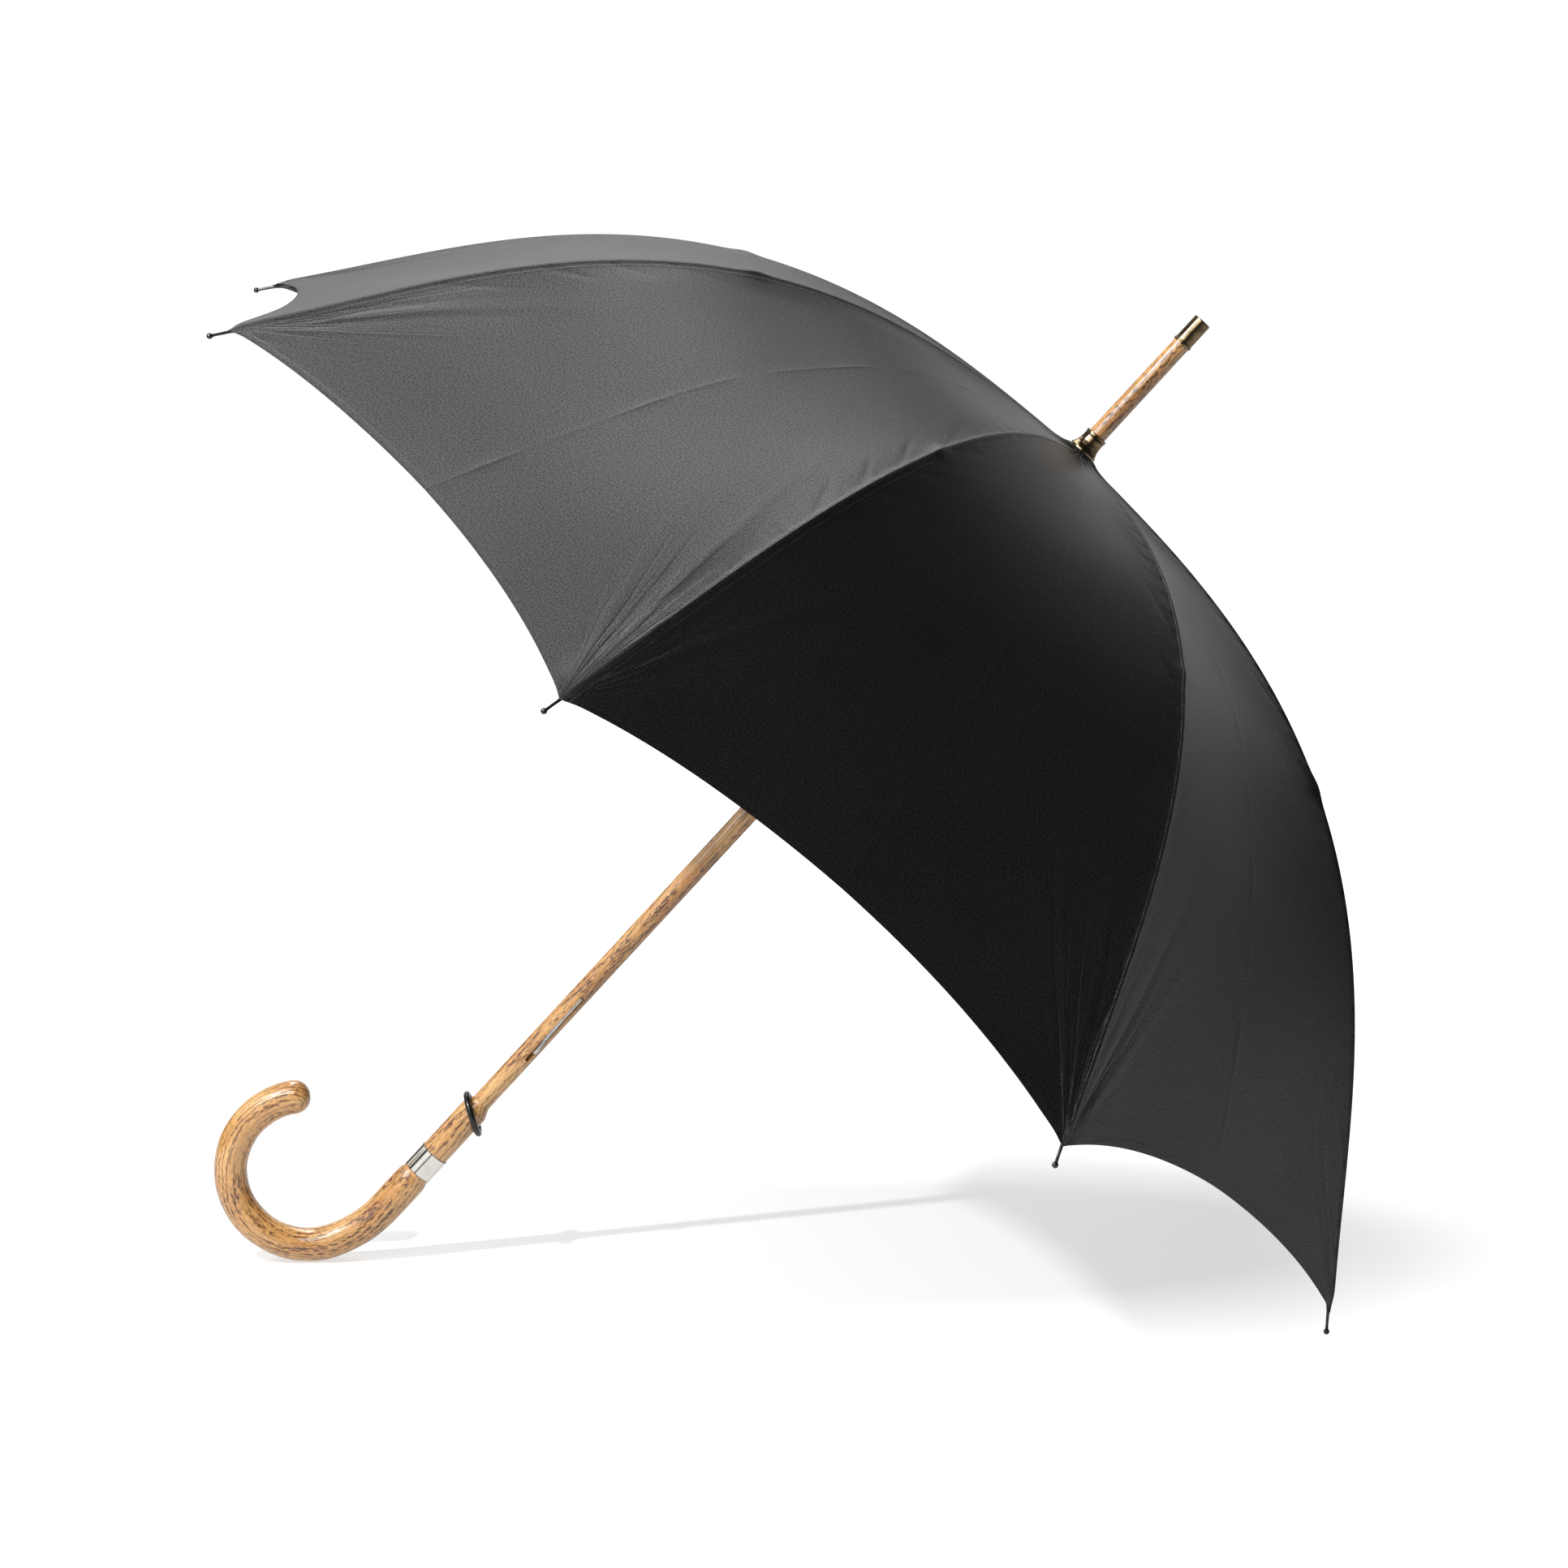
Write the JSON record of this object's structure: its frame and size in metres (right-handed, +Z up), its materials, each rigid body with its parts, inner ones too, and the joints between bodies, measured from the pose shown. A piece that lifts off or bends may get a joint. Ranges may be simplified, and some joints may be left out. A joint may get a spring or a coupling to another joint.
{
  "type": "stick umbrella",
  "caption": "Open stick umbrella with a wooden crook handle, a dark fabric cover on fluted folding ribs, a sliding runner, spring catches and a loose keeper ring.",
  "frame": {"origin": "on the floor, under the middle of the open umbrella as it stands on its crook and its two lowest rib tips", "axes": "+Z up, stick and crook in the XZ plane with the crook toward -X and the ferrule up toward +X, +Y across the umbrella"},
  "size_m": [0.7746, 0.9866, 0.7085],
  "materials": {
    "wood": "clear gloss lacquer over streaky light brown grain",
    "cloth": "tightly woven black twill with a satin sheen",
    "silver": "polished silver plate",
    "aged_brass": "aged brass, brushed",
    "nickel": "nickel plate",
    "spring_steel": "bright spring steel",
    "rib_steel": "black enamelled steel",
    "tip_steel": "dark nickel",
    "black_ring": "glossy black"
  },
  "bodies": {
    "stick": {"stick": "wood", "crook_handle": "wood", "handle_collar": "silver", "tip_ferrule": "aged_brass", "crown_cup": "aged_brass", "top_notch": "nickel", "top_notch_wire": "nickel"},
    "rib_1": {"rib_1_inner": "rib_steel", "cover_panel_1": "cloth"},
    "rib_2": {"rib_2_inner": "rib_steel", "cover_panel_2": "cloth"},
    "rib_3": {"rib_3_inner": "rib_steel", "cover_panel_3": "cloth"},
    "rib_4": {"rib_4_inner": "rib_steel", "cover_panel_4": "cloth"},
    "rib_5": {"rib_5_inner": "rib_steel", "cover_panel_5": "cloth"},
    "rib_6": {"rib_6_inner": "rib_steel", "cover_panel_6": "cloth"},
    "rib_7": {"rib_7_inner": "rib_steel", "cover_panel_7": "cloth"},
    "rib_8": {"rib_8_inner": "rib_steel", "cover_panel_8": "cloth"},
    "rib_end_1": {"rib_1_outer": "rib_steel", "rib_tip_1": "tip_steel"},
    "rib_end_2": {"rib_2_outer": "rib_steel", "rib_tip_2": "tip_steel"},
    "rib_end_3": {"rib_3_outer": "rib_steel", "rib_tip_3": "tip_steel"},
    "rib_end_4": {"rib_4_outer": "rib_steel", "rib_tip_4": "tip_steel"},
    "rib_end_5": {"rib_5_outer": "rib_steel", "rib_tip_5": "tip_steel"},
    "rib_end_6": {"rib_6_outer": "rib_steel", "rib_tip_6": "tip_steel"},
    "rib_end_7": {"rib_7_outer": "rib_steel", "rib_tip_7": "tip_steel"},
    "rib_end_8": {"rib_8_outer": "rib_steel", "rib_tip_8": "tip_steel"},
    "stretcher_1": {"stretcher_1": "rib_steel"},
    "stretcher_2": {"stretcher_2": "rib_steel"},
    "stretcher_3": {"stretcher_3": "rib_steel"},
    "stretcher_4": {"stretcher_4": "rib_steel"},
    "stretcher_5": {"stretcher_5": "rib_steel"},
    "stretcher_6": {"stretcher_6": "rib_steel"},
    "stretcher_7": {"stretcher_7": "rib_steel"},
    "stretcher_8": {"stretcher_8": "rib_steel"},
    "runner": {"runner": "nickel", "runner_wire": "nickel"},
    "top_spring": {"top_spring": "spring_steel"},
    "hand_spring": {"hand_spring": "spring_steel"},
    "keeper_ring": {"keeper_ring": "black_ring"}
  },
  "joints": [
    {"name": "canopy_fold", "type": "hinge", "parent": "stick", "child": "rib_1", "pos_m": [0.21993, -0.00421, 0.55616], "axis": [0.2822, 0.9239, -0.2584], "range_deg": [0, 76.35], "deforming": ["cover_panel_1", "cover_panel_2", "cover_panel_3", "cover_panel_4", "cover_panel_5", "cover_panel_6", "cover_panel_7", "cover_panel_8"]},
    {"name": "rib_fold_2", "type": "hinge", "parent": "stick", "child": "rib_2", "pos_m": [0.21993, 0.00421, 0.55616], "axis": [-0.2822, 0.9239, 0.2584], "range_deg": [0, 76.35]},
    {"name": "rib_fold_3", "type": "hinge", "parent": "stick", "child": "rib_3", "pos_m": [0.21554, 0.01016, 0.56018], "axis": [-0.6814, 0.3827, 0.6239], "range_deg": [0, 76.35]},
    {"name": "rib_fold_4", "type": "hinge", "parent": "stick", "child": "rib_4", "pos_m": [0.20933, 0.01016, 0.56586], "axis": [-0.6814, -0.3827, 0.6239], "range_deg": [0, 76.35]},
    {"name": "rib_fold_5", "type": "hinge", "parent": "stick", "child": "rib_5", "pos_m": [0.20494, 0.00421, 0.56988], "axis": [-0.2822, -0.9239, 0.2584], "range_deg": [0, 76.35]},
    {"name": "rib_fold_6", "type": "hinge", "parent": "stick", "child": "rib_6", "pos_m": [0.20494, -0.00421, 0.56988], "axis": [0.2822, -0.9239, -0.2584], "range_deg": [0, 76.35]},
    {"name": "rib_fold_7", "type": "hinge", "parent": "stick", "child": "rib_7", "pos_m": [0.20933, -0.01016, 0.56586], "axis": [0.6814, -0.3827, -0.6239], "range_deg": [0, 76.35]},
    {"name": "rib_fold_8", "type": "hinge", "parent": "stick", "child": "rib_8", "pos_m": [0.21554, -0.01016, 0.56018], "axis": [0.6814, 0.3827, -0.6239], "range_deg": [0, 76.35]},
    {"name": "rib_flex_1", "type": "hinge", "parent": "rib_1", "child": "rib_end_1", "pos_m": [0.36335, -0.10545, 0.35087], "axis": [0.2822, 0.9239, -0.2584], "range_deg": [-31.35, 0]},
    {"name": "rib_flex_2", "type": "hinge", "parent": "rib_2", "child": "rib_end_2", "pos_m": [0.36335, 0.10545, 0.35087], "axis": [-0.2822, 0.9239, 0.2584], "range_deg": [-31.35, 0]},
    {"name": "rib_flex_3", "type": "hinge", "parent": "rib_3", "child": "rib_end_3", "pos_m": [0.25337, 0.25457, 0.45158], "axis": [-0.6814, 0.3827, 0.6239], "range_deg": [-31.35, 0]},
    {"name": "rib_flex_4", "type": "hinge", "parent": "rib_4", "child": "rib_end_4", "pos_m": [0.09784, 0.25457, 0.59401], "axis": [-0.6814, -0.3827, 0.6239], "range_deg": [-31.35, 0]},
    {"name": "rib_flex_5", "type": "hinge", "parent": "rib_5", "child": "rib_end_5", "pos_m": [-0.01214, 0.10545, 0.69472], "axis": [-0.2822, -0.9239, 0.2584], "range_deg": [-31.35, 0]},
    {"name": "rib_flex_6", "type": "hinge", "parent": "rib_6", "child": "rib_end_6", "pos_m": [-0.01214, -0.10545, 0.69472], "axis": [0.2822, -0.9239, -0.2584], "range_deg": [-31.35, 0]},
    {"name": "rib_flex_7", "type": "hinge", "parent": "rib_7", "child": "rib_end_7", "pos_m": [0.09784, -0.25457, 0.59401], "axis": [0.6814, -0.3827, -0.6239], "range_deg": [-31.35, 0]},
    {"name": "rib_flex_8", "type": "hinge", "parent": "rib_8", "child": "rib_end_8", "pos_m": [0.25337, -0.25457, 0.45158], "axis": [0.6814, 0.3827, -0.6239], "range_deg": [-31.35, 0]},
    {"name": "stretcher_turn_1", "type": "hinge", "parent": "rib_1", "child": "stretcher_1", "pos_m": [0.36335, -0.10545, 0.35087], "axis": [0.2822, 0.9239, -0.2584], "range_deg": [-152.71, 0]},
    {"name": "stretcher_turn_2", "type": "hinge", "parent": "rib_2", "child": "stretcher_2", "pos_m": [0.36335, 0.10545, 0.35087], "axis": [-0.2822, 0.9239, 0.2584], "range_deg": [-152.71, 0]},
    {"name": "stretcher_turn_3", "type": "hinge", "parent": "rib_3", "child": "stretcher_3", "pos_m": [0.25337, 0.25457, 0.45158], "axis": [-0.6814, 0.3827, 0.6239], "range_deg": [-152.71, 0]},
    {"name": "stretcher_turn_4", "type": "hinge", "parent": "rib_4", "child": "stretcher_4", "pos_m": [0.09784, 0.25457, 0.59401], "axis": [-0.6814, -0.3827, 0.6239], "range_deg": [-152.71, 0]},
    {"name": "stretcher_turn_5", "type": "hinge", "parent": "rib_5", "child": "stretcher_5", "pos_m": [-0.01214, 0.10545, 0.69472], "axis": [-0.2822, -0.9239, 0.2584], "range_deg": [-152.71, 0]},
    {"name": "stretcher_turn_6", "type": "hinge", "parent": "rib_6", "child": "stretcher_6", "pos_m": [-0.01214, -0.10545, 0.69472], "axis": [0.2822, -0.9239, -0.2584], "range_deg": [-152.71, 0]},
    {"name": "stretcher_turn_7", "type": "hinge", "parent": "rib_7", "child": "stretcher_7", "pos_m": [0.09784, -0.25457, 0.59401], "axis": [0.6814, -0.3827, -0.6239], "range_deg": [-152.71, 0]},
    {"name": "stretcher_turn_8", "type": "hinge", "parent": "rib_8", "child": "stretcher_8", "pos_m": [0.25337, -0.25457, 0.45158], "axis": [0.6814, 0.3827, -0.6239], "range_deg": [-152.71, 0]},
    {"name": "runner_turn", "type": "hinge", "parent": "stretcher_1", "child": "runner", "pos_m": [0.14626, -0.00421, 0.47571], "axis": [0.2822, 0.9239, -0.2584], "range_deg": [0, 76.36]},
    {"name": "hand_spring_press", "type": "hinge", "parent": "stick", "child": "hand_spring", "pos_m": [-0.12936, -0.00451, 0.18734], "axis": [0.693, 0.342, -0.6346], "range_deg": [0, 2.4], "stiffness_Nm_per_rad": 0.9},
    {"name": "top_spring_press", "type": "hinge", "parent": "stick", "child": "top_spring", "pos_m": [0.07852, -0.00451, 0.41435], "axis": [-0.693, -0.342, 0.6346], "range_deg": [0, 2.4], "stiffness_Nm_per_rad": 0.9},
    {"name": "keeper_ring_slide", "type": "slide", "parent": "stick", "child": "keeper_ring", "axis": [0.6754, 0, 0.7375], "range_m": [0, 0.025]}
  ],
  "couplings": [
    {"joint": "rib_fold_2", "follows": "canopy_fold", "ratio": 1},
    {"joint": "rib_fold_3", "follows": "canopy_fold", "ratio": 1},
    {"joint": "rib_fold_4", "follows": "canopy_fold", "ratio": 1},
    {"joint": "rib_fold_5", "follows": "canopy_fold", "ratio": 1},
    {"joint": "rib_fold_6", "follows": "canopy_fold", "ratio": 1},
    {"joint": "rib_fold_7", "follows": "canopy_fold", "ratio": 1},
    {"joint": "rib_fold_8", "follows": "canopy_fold", "ratio": 1},
    {"joint": "rib_flex_1", "follows": "canopy_fold", "ratio": -0.41053},
    {"joint": "rib_flex_2", "follows": "canopy_fold", "ratio": -0.41053},
    {"joint": "rib_flex_3", "follows": "canopy_fold", "ratio": -0.41053},
    {"joint": "rib_flex_4", "follows": "canopy_fold", "ratio": -0.41053},
    {"joint": "rib_flex_5", "follows": "canopy_fold", "ratio": -0.41053},
    {"joint": "rib_flex_6", "follows": "canopy_fold", "ratio": -0.41053},
    {"joint": "rib_flex_7", "follows": "canopy_fold", "ratio": -0.41053},
    {"joint": "rib_flex_8", "follows": "canopy_fold", "ratio": -0.41053},
    {"joint": "stretcher_turn_1", "follows": "canopy_fold", "ratio": -2},
    {"joint": "stretcher_turn_2", "follows": "canopy_fold", "ratio": -2},
    {"joint": "stretcher_turn_3", "follows": "canopy_fold", "ratio": -2},
    {"joint": "stretcher_turn_4", "follows": "canopy_fold", "ratio": -2},
    {"joint": "stretcher_turn_5", "follows": "canopy_fold", "ratio": -2},
    {"joint": "stretcher_turn_6", "follows": "canopy_fold", "ratio": -2},
    {"joint": "stretcher_turn_7", "follows": "canopy_fold", "ratio": -2},
    {"joint": "stretcher_turn_8", "follows": "canopy_fold", "ratio": -2},
    {"joint": "runner_turn", "follows": "canopy_fold", "ratio": 1}
  ]
}
